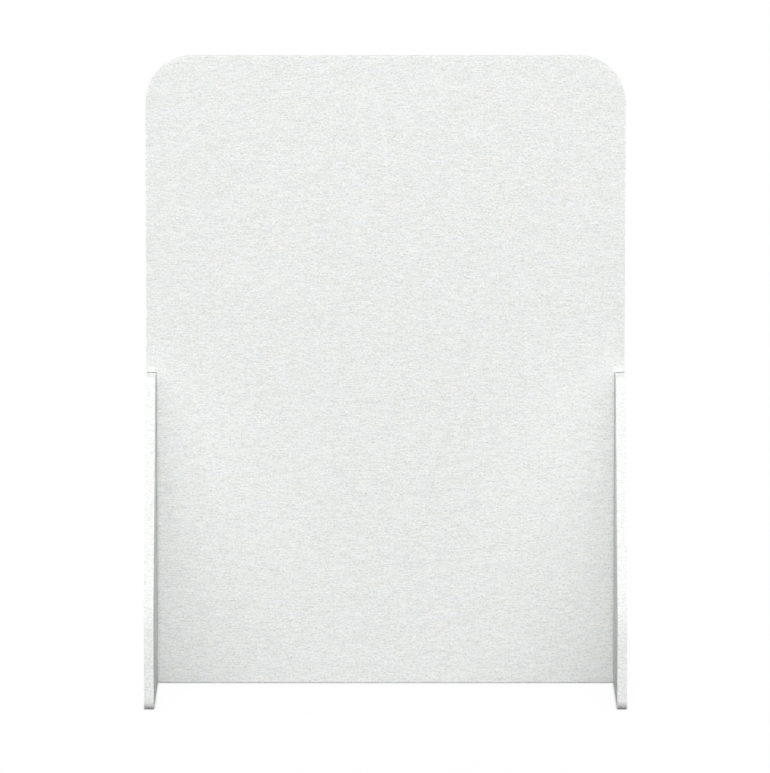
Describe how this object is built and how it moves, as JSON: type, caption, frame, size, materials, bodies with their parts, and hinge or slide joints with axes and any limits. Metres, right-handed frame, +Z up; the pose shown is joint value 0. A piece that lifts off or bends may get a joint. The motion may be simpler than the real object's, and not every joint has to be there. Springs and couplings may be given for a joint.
{
  "type": "acoustic divider screen",
  "caption": "Free-standing acoustic divider screen: a flat panel of white marled felt board with rounded top corners, whose stepped ends sit on two tapered felt end feet and bolt to them.",
  "frame": {"origin": "on the floor, under the middle of the screen", "axes": "+X along the panel to the right end as seen from the front, -Y towards the front, +Z up"},
  "size_m": [1.2, 0.7, 1.598],
  "materials": {
    "felt_board": "thick pressed felt board of polyester fibre, white with fine pale grey marling, matte, cut edges slightly rounded",
    "zinc_steel": "zinc plated steel, satin, fine turning marks"
  },
  "bodies": {
    "root": {"screen_panel": "felt_board", "left_foot": "felt_board", "right_foot": "felt_board", "left_lower_bolt": "zinc_steel", "left_middle_bolt": "zinc_steel", "left_upper_bolt": "zinc_steel", "right_lower_bolt": "zinc_steel", "right_middle_bolt": "zinc_steel", "right_upper_bolt": "zinc_steel", "left_lower_barrel_nut": "zinc_steel", "left_middle_barrel_nut": "zinc_steel", "left_upper_barrel_nut": "zinc_steel", "right_lower_barrel_nut": "zinc_steel", "right_middle_barrel_nut": "zinc_steel", "right_upper_barrel_nut": "zinc_steel"}
  },
  "joints": []
}
